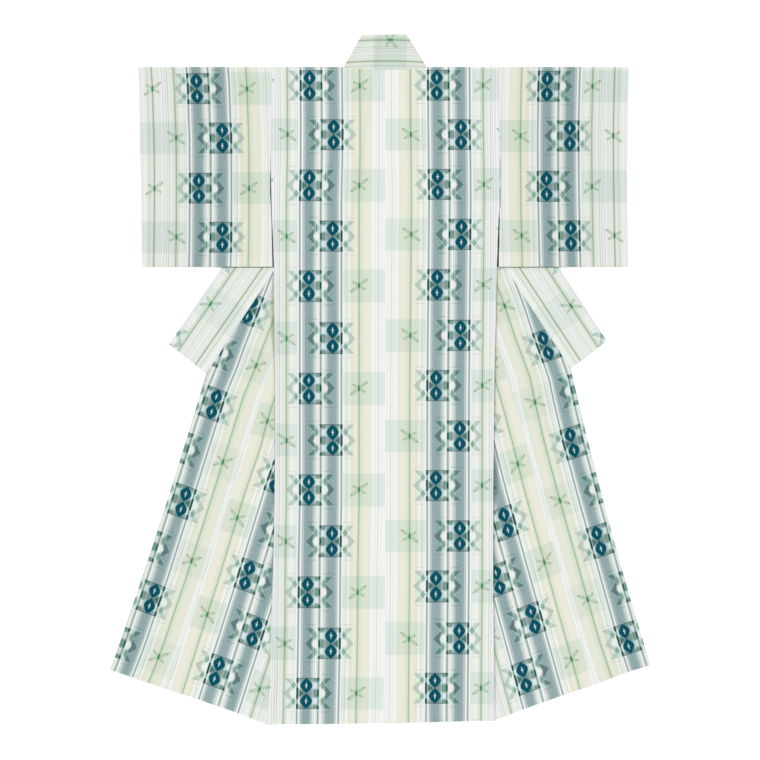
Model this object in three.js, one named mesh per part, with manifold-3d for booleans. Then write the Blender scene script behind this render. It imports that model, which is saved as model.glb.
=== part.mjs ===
// A kimono of striped summer cloth, laid flat with its back up. Its two fronts lie creased beneath
// the back and open out beside it. Each piece is one wall of cloth, in millimetres, +Y to the collar.
// Places are [out, down]: out is measured from the centre back seam towards that side of the
// garment, and down from the shoulder line towards the hem.
import * as THREE from 'three';
import Module from 'manifold-3d';

const wasm = await Module();
wasm.setup();

// Cloth, and the clearance between layers and at seams
const CLOTH = 1.2;
const GAP = 0.3;
const LAYER = CLOTH + GAP;
const FOLD_RADIUS = CLOTH + GAP / 2;
const FOLD_STEPS = 5;
const FOLD_TUCK = 0.4;
const FOLD_START = 2;

// Upper layers stay up just past the edge beneath them, then slope down to the floor
const DRAPE_MARGIN = 3;
const DRAPE_LENGTH = 17;

// Sizes that both sides share
const SHOULDER = 283;
const ARMHOLE = 230;
const CUFF_OPENING = 230;
const SLEEVE_LENGTH = 497;
const CENTRE_LENGTH = 1637;
const COLLAR_RISE = 84;
const COLLAR_TOP = 58;
const COLLAR_WIDTH = 114;
const COLLAR_HIDDEN_RISE = 35;
const OKUMI_EDGE_STEPS = 6;

// The two sides as they lie. Leans are in degrees from the vertical, and tilts from the horizontal.
const LEFT = {
  name: 'left',
  sign: -1,
  neck: 103,
  sleeveTop: 617,
  sleeveFoot: 608,
  bodyEdge: [
    { down: 0, out: SHOULDER },
    { down: ARMHOLE, out: SHOULDER },
    { down: 505, out: 279 },
    { down: 1105, out: 279 },
    { down: 1347, out: 286 },
    { down: 1540, out: 291 },
    { down: 1641, out: 298 },
  ],
  creaseLean: 9,
  frontHem: 260,
  okumiHem: 153,
  hemTilt: 19.6,
  okumiSeamLean: 17.7,
  okumiEdgeDip: 6,
  collarEnd: [451, 762],
  collarEndTilt: 39.7,
  collarLean: 34,
  collarSeamLean: 33.4,
};

const RIGHT = {
  name: 'right',
  sign: 1,
  neck: 107,
  sleeveTop: 606,
  sleeveFoot: 606,
  bodyEdge: [
    { down: 0, out: SHOULDER },
    { down: ARMHOLE, out: SHOULDER },
    { down: 505, out: 279 },
    { down: 1080, out: 271 },
    { down: 1330, out: 271 },
    { down: 1465, out: 274 },
    { down: 1631, out: 274 },
  ],
  creaseLean: 8.2,
  frontHem: 263,
  okumiHem: 151,
  hemTilt: 19.8,
  okumiSeamLean: 15.7,
  okumiEdgeDip: 9,
  collarEnd: [465, 758],
  collarEndTilt: 41,
  collarLean: 33,
  collarSeamLean: 33,
};

// Points and lines in the plan
const radians = (degrees) => THREE.MathUtils.degToRad(degrees);
const leaning = (degrees) => [Math.sin(radians(degrees)), Math.cos(radians(degrees))];
const tilted = (degrees) => [Math.cos(radians(degrees)), -Math.sin(radians(degrees))];
const along = ([out, down], [dOut, dDown], far) => [out + dOut * far, down + dDown * far];
const mix = (a, b, share) => along(a, [b[0] - a[0], b[1] - a[1]], share);
const cross = (a, b) => a[0] * b[1] - a[1] * b[0];

function unit([out, down]) {
  const size = Math.hypot(out, down);
  return [out / size, down / size];
}

function meeting(pointA, towardsA, pointB, towardsB) {
  const between = [pointB[0] - pointA[0], pointB[1] - pointA[1]];
  return along(pointA, towardsA, cross(between, towardsB) / cross(towardsA, towardsB));
}

// The distance of a point from a line, positive to the line's outward side
const distanceFrom = (start, towards) => (point) =>
  cross([point[0] - start[0], point[1] - start[1]], towards);

// An outline moved inwards, each edge by its own distance
function inset(outline, distances) {
  const turned = Math.sign(THREE.ShapeUtils.area(outline.map((p) => new THREE.Vector2(...p))));
  const edges = outline.map((point, i) => {
    const next = outline[(i + 1) % outline.length];
    const towards = unit([next[0] - point[0], next[1] - point[1]]);
    const inward = [-towards[1] * turned, towards[0] * turned];
    return { start: along(point, inward, distances[i]), towards };
  });
  return edges.map((edge, i) => {
    const before = edges[(i + edges.length - 1) % edges.length];
    const straightOn = Math.abs(cross(before.towards, edge.towards)) < 0.001;
    return straightOn ? edge.start : meeting(before.start, before.towards, edge.start, edge.towards);
  });
}

const atSeams = (outline) => inset(outline, outline.map(() => GAP / 2));

// A closed solid from points and triangles, its faces turned outwards
function solidFrom(points, triangles) {
  const volume = triangles.reduce((sum, [a, b, c]) => {
    const normal = new THREE.Vector3().crossVectors(points[b], points[c]);
    return sum + points[a].dot(normal);
  }, 0);
  const facing = volume < 0 ? triangles.map(([a, b, c]) => [a, c, b]) : triangles;
  const vertProperties = new Float32Array(points.flatMap((point) => point.toArray()));
  const triVerts = new Uint32Array(facing.flat());
  return new wasm.Manifold(new wasm.Mesh({ numProp: 3, vertProperties, triVerts }));
}

function splitCell(cell, line) {
  const heights = cell.map(line);
  const half = (keep) => cell.flatMap((point, i) => {
    const next = (i + 1) % cell.length;
    const here = heights[i] * keep;
    const there = heights[next] * keep;
    const crossing = here * there < 0 ? [mix(point, cell[next], here / (here - there))] : [];
    return here >= 0 ? [point, ...crossing] : crossing;
  });
  return [half(1), half(-1)].filter((part) => part.length > 2);
}

// A wall of cloth over an outline, whose underside follows what lies beneath it
function sheet(lay, outline, underside) {
  const contour = outline.map((point) => new THREE.Vector2(...point));
  const faces = THREE.ShapeUtils.triangulateShape(contour, []);
  let cells = faces.map((face) => face.map((corner) => outline[corner]));
  for (const line of lay.bends) {
    cells = cells.flatMap((cell) => splitCell(cell, line));
  }
  const seen = new Map();
  const bottom = [];
  const indexOf = (point) => {
    const key = point.map((value) => Math.round(value * 1e4)).join();
    if (!seen.has(key)) {
      seen.set(key, bottom.length);
      bottom.push(lay.place(point, underside(point)));
    }
    return seen.get(key);
  };
  const plan = cells.flatMap((cell) => {
    const corners = cell.map(indexOf);
    return corners.slice(2).map((corner, i) => [corners[0], corners[i + 1], corner]);
  });
  const count = bottom.length;
  const top = bottom.map((point) => point.clone().setZ(point.z + CLOTH));
  const sides = plan.flatMap(([a, b, c]) => [[a, b], [b, c], [c, a]]);
  const inside = new Set(sides.map(([a, b]) => `${b},${a}`));
  const rim = sides.filter(([a, b]) => !inside.has(`${a},${b}`));
  const walls = rim.flatMap(([a, b]) => [[a, b, b + count], [a, b + count, a + count]]);
  const upper = plan.map((face) => face.map((corner) => corner + count));
  const lower = plan.map(([a, b, c]) => [a, c, b]);
  return solidFrom([...bottom, ...top], [...upper, ...lower, ...walls]);
}

// The rounded edge where a wall turns over onto the layer beneath it
function fold(lay, path, bulge, underside) {
  const arc = (radius, from, to) => Array.from({ length: FOLD_STEPS + 1 }, (_, i) => {
    const angle = radians(from + (to - from) * i / FOLD_STEPS);
    return [radius * Math.cos(angle), FOLD_RADIUS + radius * Math.sin(angle)];
  });
  const profile = [
    [-FOLD_TUCK, 0],
    ...arc(FOLD_RADIUS, -90, 90),
    [-FOLD_TUCK, 2 * FOLD_RADIUS],
    [-FOLD_TUCK, LAYER],
    ...arc(GAP / 2, 90, -90),
    [-FOLD_TUCK, CLOTH],
  ];
  const size = profile.length;
  const points = path.flatMap((point) => profile.map(([reach, height]) =>
    lay.place(along(point, bulge, reach), underside(point) + height)));
  const shape = profile.map((corner) => new THREE.Vector2(...corner));
  const cap = THREE.ShapeUtils.triangulateShape(shape, []);
  const last = size * (path.length - 1);
  const triangles = cap.map(([a, b, c]) => [a, c, b]);
  triangles.push(...cap.map((face) => face.map((corner) => corner + last)));
  for (let ring = 0; ring < last; ring += size) {
    for (let i = 0; i < size; i += 1) {
      const a = ring + i;
      const b = ring + (i + 1) % size;
      triangles.push([a, b, b + size], [a, b + size, a + size]);
    }
  }
  return solidFrom(points, triangles);
}

// Where the seams, edges and creases of one side lie
function layOut(side) {
  const foot = side.bodyEdge.at(-1);
  const creaseFoot = [foot.out, foot.down];
  const creaseWay = leaning(side.creaseLean);
  const okumiHem = along(creaseFoot, tilted(side.hemTilt), side.frontHem);
  const hemCorner = along(okumiHem, tilted(side.hemTilt), side.okumiHem);
  const collarTip = along(side.collarEnd, tilted(side.collarEndTilt), COLLAR_WIDTH);
  const collarWay = leaning(side.collarLean);
  const seamWay = leaning(side.collarSeamLean);
  const okumiTip = meeting(side.collarEnd, seamWay, okumiHem, leaning(side.okumiSeamLean));
  const creaseTop = meeting(side.collarEnd, seamWay, creaseFoot, creaseWay);
  const hiddenTop = [0, -COLLAR_HIDDEN_RISE];
  const collarStart = meeting(collarTip, collarWay, hiddenTop, [1, 0]);
  const creaseStart = meeting(creaseFoot, creaseWay, hiddenTop, [1, 0]);
  const past = (distance) => (point) => distance(point) + DRAPE_MARGIN;
  const down = (distance) => (point) => distance(point) + DRAPE_MARGIN + DRAPE_LENGTH;
  const outsideCrease = distanceFrom(creaseFoot, creaseWay);
  const acrossCollar = distanceFrom(collarTip, collarWay);
  const insideCollar = (point) => -acrossCollar(point);
  const raised = (distance, point) =>
    THREE.MathUtils.clamp(down(distance)(point) / DRAPE_LENGTH, 0, 1);
  const overFlap = (point) => LAYER * raised(insideCollar, point);
  return {
    creaseFoot, creaseTop, creaseStart, creaseWay, okumiHem, okumiTip, hemCorner, collarTip, collarStart,
    bends: [outsideCrease, insideCollar].flatMap((distance) => [past(distance), down(distance)]),
    onFloor: () => 0,
    overFlap,
    overFront: (point) => raised(outsideCrease, point) * (LAYER + overFlap(point)),
    place: ([out, downwards], z) => new THREE.Vector3(side.sign * out, -downwards, z),
  };
}

// One width of cloth: the back, over the shoulder, and the front, creased and opened outwards
function makeBody(side, lay) {
  const edge = side.bodyEdge.map(({ down, out }) => [out, down]);
  const neckPoint = [side.neck, 0];
  const back = atSeams([[0, 0], ...edge, [0, CENTRE_LENGTH]]);
  const under = [neckPoint, ...edge, lay.creaseTop];
  const opened = [lay.creaseTop, lay.creaseFoot, lay.okumiHem, lay.okumiTip];
  const creaseOut = [-lay.creaseWay[1], lay.creaseWay[0]];
  const shoulderFold = [along(neckPoint, [1, 0], FOLD_START), along(edge[0], [-1, 0], GAP / 2)];
  const creasePath = [along(lay.creaseTop, lay.creaseWay, FOLD_START), lay.creaseFoot];
  return [
    sheet(lay, back, lay.overFront),
    sheet(lay, atSeams(under), lay.overFlap),
    sheet(lay, atSeams(opened), lay.onFloor),
    fold(lay, shoulderFold, [0, -1], lay.overFlap),
    fold(lay, creasePath, creaseOut, lay.onFloor),
  ];
}

// The long narrow panel sewn to the front's free edge
function makeOkumi(side, lay) {
  const edge = Array.from({ length: OKUMI_EDGE_STEPS + 1 }, (_, i) => {
    const share = i / OKUMI_EDGE_STEPS;
    const dip = side.okumiEdgeDip * 4 * share * (1 - share);
    return along(mix(lay.hemCorner, side.collarEnd, share), [-1, 0], dip);
  });
  return [sheet(lay, atSeams([lay.okumiTip, lay.okumiHem, ...edge]), lay.onFloor)];
}

// The end of the collar on the opened front, from its crease under the back to its tip
function makeCollarEnd(side, lay) {
  const outline = [lay.collarStart, lay.collarTip, side.collarEnd, lay.creaseTop, lay.creaseStart];
  return [sheet(lay, atSeams(outline), lay.onFloor)];
}

// Half of the collar round the back of the neck, turned under at its side
function makeCollarHalf(side, lay) {
  const top = [COLLAR_TOP, -COLLAR_RISE];
  const turn = [side.neck, -FOLD_RADIUS];
  const neckPoint = [side.neck, 0];
  const creaseEnd = meeting(lay.creaseFoot, lay.creaseWay, top, [1, 0]);
  const shown = [[0, 0], neckPoint, turn, top, [0, -COLLAR_RISE]];
  const hidden = [creaseEnd, top, turn, neckPoint, lay.creaseTop];
  const bulge = unit([turn[1] - top[1], top[0] - turn[0]]);
  const turnPath = [along(top, [0, 1], GAP), along(turn, [0, -1], FOLD_START)];
  return [
    sheet(lay, inset(shown, [GAP / 2, GAP / 2, GAP / 2, GAP / 2, 0]), lay.overFront),
    sheet(lay, atSeams(hidden), lay.overFlap),
    fold(lay, turnPath, bulge, lay.overFlap),
  ];
}

// A sleeve: one width folded at the shoulder, sewn along its foot and up to the wrist opening
function makeSleeve(side, lay) {
  const corners = [
    [SHOULDER, 0],
    [side.sleeveTop, 0],
    [side.sleeveFoot, SLEEVE_LENGTH],
    [SHOULDER + 1, SLEEVE_LENGTH],
  ];
  const outline = inset(corners, [FOLD_RADIUS, FOLD_RADIUS, FOLD_RADIUS, GAP / 2]);
  const [innerTop, outerTop, outerFoot, innerFoot] = outline;
  const overFront = (point) => lay.overFlap(point) + LAYER;
  const wrist = mix(outerTop, outerFoot, CUFF_OPENING / SLEEVE_LENGTH);
  const footBends = lay.bends.map((line) => line(innerFoot) / (line(innerFoot) - line(outerFoot)))
    .filter((share) => share > 0 && share < 1)
    .sort((a, b) => a - b)
    .map((share) => mix(innerFoot, outerFoot, share));
  return [
    sheet(lay, outline, lay.overFlap),
    sheet(lay, outline, overFront),
    fold(lay, [innerTop, outerTop], [0, -1], lay.overFlap),
    fold(lay, [innerFoot, ...footBends, outerFoot], [0, 1], lay.overFlap),
    fold(lay, [wrist, outerFoot], [1, 0], lay.overFlap),
  ];
}

const FABRIC = { roughness: 0.9, metalness: 0 };

function named(name, solids, colour) {
  const { vertProperties, triVerts } = wasm.Manifold.union(solids).getMesh();
  const geometry = new THREE.BufferGeometry();
  geometry.setAttribute('position', new THREE.BufferAttribute(vertProperties, 3));
  geometry.setIndex(new THREE.BufferAttribute(triVerts, 1));
  const material = new THREE.MeshStandardMaterial({ color: colour, ...FABRIC });
  const mesh = new THREE.Mesh(geometry, material);
  mesh.name = name;
  return mesh;
}

const group = new THREE.Group();
const collarHalves = [];
for (const side of [LEFT, RIGHT]) {
  const lay = layOut(side);
  group.add(named(`body_${side.name}`, makeBody(side, lay), '#e3e9e1'));
  group.add(named(`okumi_${side.name}`, makeOkumi(side, lay), '#cfdad3'));
  group.add(named(`sleeve_${side.name}`, makeSleeve(side, lay), '#dbe4de'));
  group.add(named(`collar_${side.name}`, makeCollarEnd(side, lay), '#dfe9dc'));
  collarHalves.push(...makeCollarHalf(side, lay));
}
group.add(named('collar_neck', collarHalves, '#e8efe6'));

// The origin is on the floor, at the middle of the laid garment
const middle = new THREE.Box3().setFromObject(group).getCenter(new THREE.Vector3());
group.position.set(-middle.x, -middle.y, 0);

export default group;
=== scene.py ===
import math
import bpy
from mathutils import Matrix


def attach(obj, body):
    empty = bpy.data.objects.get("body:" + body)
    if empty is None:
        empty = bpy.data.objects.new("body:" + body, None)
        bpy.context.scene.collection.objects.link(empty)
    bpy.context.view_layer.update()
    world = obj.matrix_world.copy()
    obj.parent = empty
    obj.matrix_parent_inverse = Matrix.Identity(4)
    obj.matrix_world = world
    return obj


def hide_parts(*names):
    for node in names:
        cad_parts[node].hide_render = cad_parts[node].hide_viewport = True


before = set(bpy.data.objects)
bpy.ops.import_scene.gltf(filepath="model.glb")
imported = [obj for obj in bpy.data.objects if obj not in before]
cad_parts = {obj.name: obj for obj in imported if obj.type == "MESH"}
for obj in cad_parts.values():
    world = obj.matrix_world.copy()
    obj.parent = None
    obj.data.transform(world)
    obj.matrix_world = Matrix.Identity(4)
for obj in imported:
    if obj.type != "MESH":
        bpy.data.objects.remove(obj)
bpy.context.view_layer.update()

# A kimono of striped summer cloth, laid flat with its back up on a white floor. Places on the cloth are
# [out, down] in millimetres: out from the centre back seam, down from the shoulder line. Places in the
# view are pixels of 2.5 mm, and the pattern is charted in the same pixels across the loom width.
from types import SimpleNamespace

import bmesh
import bpy
import numpy as np

# The view
PIXEL = 2.5
PICTURE = 760
SENSOR = 36.0
CAMERA_HEIGHT = 12.0
FLOOR_HALF = 30
FLOOR_DROP = 0.0002
SEAM_X = 11.77
SHOULDER_Y = 778.42
SEAM_PIXEL = 385.3
SHOULDER_PIXEL = 68.0

# The cloth and its layers
CLOTH = 0.55
COLLAR_CLOTH = 1.05
FLOOR_HEIGHT = 0.35
LAYER = 1.5
GAP = 0.03
DRAPE_MARGIN = 3.0
DRAPE_LENGTH = 17.0
CELL = 6.0
FRONT_CELL = 9.0
HIDDEN_CELL = 12.0
HIDDEN_NECK_COLUMNS = 5
ARC_STEPS = 6
EDGE_POINTS = 25
MERGE = 0.00003
RIDGE_FADE = 2.2
CUT_ANGLE = math.radians(50)

# Sizes that both sides share
SHOULDER = 283.0
CUFF_OPENING = 230.0
SEAM_LIFT_WIDTH = 26.0
FOOT_LIFT = 2.6
FOOT_LIFT_WIDTH = 22.0
SLEEVE_LENGTH = 497.0
SHOULDER_RISE = 2.2
SHOULDER_DOWN = LAYER / 2 - SHOULDER_RISE
SLIT_SHADOW_HALF = 5.0
SLIT_SHADOW_ROWS = 40
COLLAR_HEIGHT = FLOOR_HEIGHT + 0.25
SLEEVE_FOLD_WIDTH = 0.4
CREASE_FOOT_WIDTH = 0.5
PINCH_WIDTH = 8.0
PINCHED_LAYER = 0.3
BOW_FADE = 8
CENTRE_LENGTH = 1638.0
COLLAR_RISE = 83.5
COLLAR_HIDDEN_RISE = 2.0
NECK_DIP = 4.5

# The charts of a side's edges hold places down and out. seam_shade holds places down, and the width in
# pixels and the depth of the shade beside the back's edge.
LEFT = SimpleNamespace(
    name="left", sign=-1, neck=103.0, collar_top=57.5,
    sleeve_edge=[(0, 619), (70, 616), (190, 614), (300, 611.5), (497, 608.5)],
    seam_shade=[(497, 1.2, 0.9), (530, 1.2, 0.55), (570, 3.6, 0.45), (660, 4.2, 0.5), (720, 2.2, 0.4),
                (800, 1.0, 0.4), (1240, 1.0, 0.35), (1400, 0.6, 0.1), (1641, 0.6, 0.0)],
    seam_lift=[(500, 0), (530, 5.5), (640, 6), (740, 4), (900, 3), (1540, 2.4), (1620, 0)],
    sleeve_seam=[(0, 283), (140, 284.5), (215, 287), (310, 286.5), (400, 283), (497, 281)],
    slit=[(210, 0.1), (235, 0.7), (256, 0.9), (272, 2.4), (320, 3.1), (345, 1.8), (385, 1.5), (412, 2.4),
          (460, 2.4), (497, 2.0)],
    body_edge=[(0, 283), (140, 284.5), (215, 287), (310, 286.5), (400, 283), (505, 279), (632, 277),
               (752, 275.3), (962, 275.3), (1142, 277.8), (1262, 281.2), (1382, 284.5), (1540, 288.5),
               (1641, 297)],
    crease_lean=9.0, front_hem=260.0, okumi_hem=154.0, hem_tilt=19.3, front_bow=3.4, okumi_bow=0.0,
    okumi_seam_lean=17.7, okumi_edge_dip=5.6, collar_width=118.9, collar_end=(447.6, 763.5),
    collar_end_tilt=38.2, collar_lean=34.6, collar_seam_lean=33.4,
)
RIGHT = SimpleNamespace(
    name="right", sign=1, neck=101.5, collar_top=51.5,
    sleeve_edge=[(0, 608.5), (70, 606.5), (250, 604.5), (370, 605), (497, 607)],
    seam_shade=[(497, 1.2, 0.4), (560, 1.6, 0.1), (720, 1.6, 0.1), (800, 1.2, 0.28), (940, 1.2, 0.28),
                (975, 5.5, 0.5), (1060, 5.5, 0.45), (1110, 1.2, 0.3), (1300, 1.2, 0.3), (1460, 1.0, 0.1)],
    seam_lift=[(500, 0), (530, 3.5), (700, 3.5), (900, 3), (1540, 2.6), (1620, 0)],
    sleeve_seam=[(0, 283), (140, 285), (230, 287), (345, 287), (380, 284.5), (410, 283.5), (497, 283)],
    slit=[(220, 0.3), (240, 1.6), (278, 1.4), (290, 0.5), (305, 2.0), (345, 1.8), (362, 0.5), (380, 3.0),
          (440, 3.3), (458, 1.5), (497, 1.6)],
    body_edge=[(0, 283), (140, 285), (230, 287), (345, 287), (380, 284.5), (410, 283.5), (505, 279),
               (542, 277.8), (632, 276.5), (692, 274.5), (842, 272.2), (962, 270.8), (1082, 269.6),
               (1330, 269.6), (1472, 272.2), (1631, 273.5)],
    crease_lean=8.2, front_hem=263.0, okumi_hem=150.0, hem_tilt=19.6, front_bow=2.6, okumi_bow=2.2,
    okumi_seam_lean=15.7, okumi_edge_dip=7.5, collar_width=113.7, collar_end=(463.3, 750.8),
    collar_end_tilt=37.2, collar_lean=33.2, collar_seam_lean=33.0,
)

# The stripe chart, in pixels from the outer selvedge: centre, width, yarn, and how much of it shows.
# Later stripes cover earlier ones.
LIGHT_LEVEL = 1.035
GROUND = (238, 240, 235)
YARNS = {
    "white": (246, 248, 243), "grey": (132, 148, 140), "slate": (147, 170, 171),
    "teal": (66, 104, 108), "moss": (118, 150, 98), "green": (92, 150, 92),
    "leaf": (96, 156, 112), "cream": (235, 234, 218), "straw": (229, 230, 209),
}
STRIPE_SOFT = 0.45
STRIPES = [
    (0.9, 0.9, "grey", 0.08), (2.3, 0.8, "white", 0.5), (5.2, 1.2, "moss", 0.06),
    (7.2, 1.3, "moss", 0.27), (9.0, 1.6, "grey", 0.10), (12.3, 3.6, "moss", 0.14), (12.2, 1.5, "moss", 0.50),
    (15.5, 1.0, "grey", 0.13), (17.9, 1.6, "grey", 0.10), (19.5, 0.8, "grey", 0.09),
    (20.4, 0.7, "white", 0.4), (22.3, 1.1, "grey", 0.18), (25.0, 0.9, "grey", 0.25),
    (26.0, 0.6, "white", 0.4), (27.2, 1.0, "moss", 0.30), (30.2, 1.2, "grey", 0.13),
    (34.6, 5.8, "moss", 0.16), (34.3, 1.4, "green", 0.48), (40.0, 0.8, "grey", 0.06),
    (42.5, 0.9, "grey", 0.11), (44.4, 1.2, "grey", 0.11), (45.8, 0.7, "white", 0.6),
    (47.6, 2.3, "teal", 0.15), (47.6, 1.3, "teal", 0.48), (49.5, 0.7, "white", 0.5),
    (51.2, 1.9, "slate", 0.62), (56.6, 8.5, "slate", 1.0), (56.7, 1.0, "teal", 0.09),
    (61.8, 1.5, "slate", 0.62), (63.0, 0.9, "slate", 0.26), (64.2, 0.9, "grey", 0.30),
    (65.5, 0.8, "white", 0.3), (66.8, 1.2, "grey", 0.10), (68.7, 2.8, "teal", 0.17),
    (68.6, 1.3, "teal", 0.46), (71.5, 0.7, "white", 0.2), (72.8, 1.1, "grey", 0.32),
    (73.8, 0.8, "slate", 0.2), (75.0, 1.9, "slate", 0.60), (75.9, 0.8, "slate", 0.5),
    (80.3, 8.3, "slate", 0.96), (80.3, 1.0, "teal", 0.09), (85.3, 1.8, "slate", 0.62),
    (86.5, 0.7, "slate", 0.35), (87.5, 0.8, "white", 0.5), (89.2, 2.3, "teal", 0.14),
    (89.2, 1.3, "teal", 0.48), (91.4, 0.9, "white", 0.5), (92.7, 1.5, "grey", 0.08),
    (95.0, 1.1, "grey", 0.24), (96.8, 1.3, "white", 0.5), (108.3, 20.8, "cream", 1.0),
    (100.5, 3.2, "straw", 0.9), (107.4, 5.6, "leaf", 0.09), (106.9, 1.5, "leaf", 0.44),
    (111.2, 1.0, "leaf", 0.05), (118.3, 0.8, "grey", 0.05), (121.0, 2.6, "white", 0.5),
    (123.2, 1.2, "straw", 0.3), (124.8, 0.8, "white", 0.6), (126.1, 0.8, "grey", 0.24),
    (127.7, 1.4, "white", 0.5), (129.2, 1.0, "grey", 0.04), (132.4, 4.6, "white", 0.4),
]
LOOM_WIDTH = 136.0

# Tints of the cloth on each piece, which are painted light and shade, of the shades, and of the rows of
# figures
OKUMI_PAINTED_SHADE = (0.965, 0.985, 0.985)
BODY_PAINTED_LIGHT = (1.011, 1.014, 1.017)
SLEEVE_PAINTED_SHADE = (0.966, 0.971, 0.965)
COLLAR_PAINTED_LIGHT = (1.0, 1.01, 1.01)
NECK_PAINTED_SHADE = (0.94, 0.96, 0.94)
FIGURE_TINT = (0.89, 0.965, 0.968)
DEEP_FIGURE_TINT = (0.81, 0.898, 0.91)
SQUARE_B_TINT = (0.85, 0.91, 0.895, 1)
SQUARE_C_TINT = (0.835, 0.91, 0.885, 1)
# Painted shade: the strip in the slit, and the shade beside upper layers
SLIT_SHADE = (60, 64, 46)
LAYER_SHADE = (0.28, 0.36, 0.26, 1)
SHADE_END = 0.85
SHADE_SOFT = 0.5
FOOT_SHADE = 0.8
FOOT_SHADE_WIDTH = 1.0
FAR_OUT = 50.0
SLIT_SHADOW_ACROSS = 150.0
RAMP_STOPS = 30

# The woven figures, in pixels: two kinds of row take turns down the cloth. Places are across the loom width,
# or out from the middle of a pair of eyes.
ROW_PITCH = 50.65
SQUARE_HALF = 16.4
SQUARE_B = 21.5
SQUARE_B_HALF = 23.5
SQUARE_C = 112.5
SQUARE_C_HALF = 21.5
FRAME_HALF = 15.0
EYE_CENTRE = 7.85
EYE_HALF = 6.1
EYE_REACH = 8.2
LIGHT_LINE = 8.9
BAND_LINE = -11.8
INNER_LINE = -7.7
TOOTH_CENTRE = 8.2
TOOTH_SLOPE = 0.97
TOOTH_REACH = 5.9
ZIGZAG_HALF = 2.8
HOLLOW_CENTRE = 4.1
BLOB_CENTRE = 3.9
THREAD_LINE = 4.3
ECHO_LINE = 18.7
FIGURE_ROW_HALF = 15.8
FIGURE_ROW_REACH = 11.0
EYE_ON_BAND_2 = 80.5
EYE_ON_BAND_1 = 56.7
BETWEEN_STARS = 60.0
STAR_A = 12.3
STAR_B = 34.4
STAR_C = 106.8
BAND_MIDDLES = (56.8, 80.4)
BAND_HALF = 5.5
THREADS = 5
RAGGED = 1.6
WARP_CONTRAST = 0.09
WEFT_CONTRAST = 0.08
BAND_CONTRAST = 0.4
FIGURE_DYES = {
    "wash": (72, 142, 126), "corner": (84, 116, 108), "waist": (30, 98, 90),
    "inner_line": (36, 60, 60), "rail": (28, 66, 66), "band_line": (10, 82, 72),
    "light_line": (16, 80, 72), "eye": (2, 82, 100), "cross": (236, 240, 234),
    "tooth_point": (52, 110, 98), "tooth": (62, 97, 98), "light_tooth": (132, 160, 142),
    "hollow": (240, 242, 239), "blob": (108, 162, 132), "thread": (58, 104, 84),
    "echo": (84, 112, 108), "leaf": (130, 164, 134), "core": (44, 140, 78),
}


# Plan geometry
def pairs(first, second):
    return np.stack([first, second], axis=-1)


def leaning(degrees):
    return np.array([math.sin(math.radians(degrees)), math.cos(math.radians(degrees))])


def tilted(degrees):
    return np.array([math.cos(math.radians(degrees)), -math.sin(math.radians(degrees))])


def cross(a, b):
    return a[..., 0] * b[1] - a[..., 1] * b[0]


def meeting(start_a, towards_a, start_b, towards_b):
    between = np.subtract(start_b, start_a)
    far = cross(between, towards_b) / cross(np.asarray(towards_a), towards_b)
    return np.asarray(start_a) + np.asarray(towards_a) * far


def smooth(share):
    share = np.clip(share, 0, 1)
    return share * share * (3 - 2 * share)


def raised(distance):
    return smooth((distance + DRAPE_MARGIN + DRAPE_LENGTH) / DRAPE_LENGTH)


def path_points(path, shares):
    """Points at shares of the length of a path."""
    path = np.asarray(path, float)
    lengths = np.concatenate([[0], np.cumsum(np.linalg.norm(np.diff(path, axis=0), axis=1))])
    at = np.asarray(shares) * lengths[-1]
    return pairs(np.interp(at, lengths, path[:, 0]), np.interp(at, lengths, path[:, 1]))


def lay_out(side):
    """Adds the lines and corners of one side to its sizes."""
    foot_down, foot_out = side.body_edge[-1]
    side.crease_foot = np.array([foot_out, foot_down], float)
    side.crease_way = leaning(side.crease_lean)
    side.okumi_foot = side.crease_foot + tilted(side.hem_tilt) * side.front_hem
    side.hem_corner = side.okumi_foot + tilted(side.hem_tilt) * side.okumi_hem
    side.collar_end = np.array(side.collar_end)
    side.collar_tip = side.collar_end + tilted(side.collar_end_tilt) * side.collar_width
    side.collar_way = leaning(side.collar_lean)
    seam_way = leaning(side.collar_seam_lean)
    side.okumi_tip = meeting(side.collar_end, seam_way, side.okumi_foot, leaning(side.okumi_seam_lean))
    side.crease_top = meeting(side.collar_end, seam_way, side.crease_foot, side.crease_way)
    hidden_top = np.array([0.0, -COLLAR_HIDDEN_RISE])
    level = np.array([1.0, 0.0])
    side.collar_start = meeting(side.collar_tip, side.collar_way, hidden_top, level)
    side.crease_start = meeting(side.crease_foot, side.crease_way, hidden_top, level)
    side.crease_above = meeting(
        side.crease_foot, side.crease_way, np.array([0.0, -COLLAR_RISE]), level
    )


for side in (LEFT, RIGHT):
    lay_out(side)


def outside_crease(side, points):
    return cross(points - side.crease_foot, side.crease_way)


def inside_collar(side, points):
    return -cross(points - side.collar_tip, side.collar_way)


def on_floor(side, points):
    return np.zeros(points.shape[:-1])


def at_seam(side, points):
    """The side seam's thickness lifts the edge of the body a little."""
    out, down = points[..., 0], points[..., 1]
    near = smooth(1 - (body_edge(side, down) - out) / SEAM_LIFT_WIDTH)
    return near * charted(side.seam_lift, down)


def over_flap(side, points):
    return LAYER * raised(inside_collar(side, points)) + at_seam(side, points)


def over_strap(side, points):
    """The layer over the flap, lifted a little where the sleeve's foot crosses the collar."""
    near = smooth(1 - (SLEEVE_LENGTH - points[..., 1]) / FOOT_LIFT_WIDTH)
    return over_flap(side, points) + FOOT_LIFT * near * raised(inside_collar(side, points))


def over_front(side, points):
    return raised(outside_crease(side, points)) * (LAYER + over_flap(side, points))


def charted(chart, down):
    """A chart's value at a place down from the shoulder line."""
    downs, values = zip(*chart)
    return np.interp(down, downs, values)


def body_edge(side, down):
    return charted(side.body_edge, down) - charted(side.slit, down) * (down < 505) / 2


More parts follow.
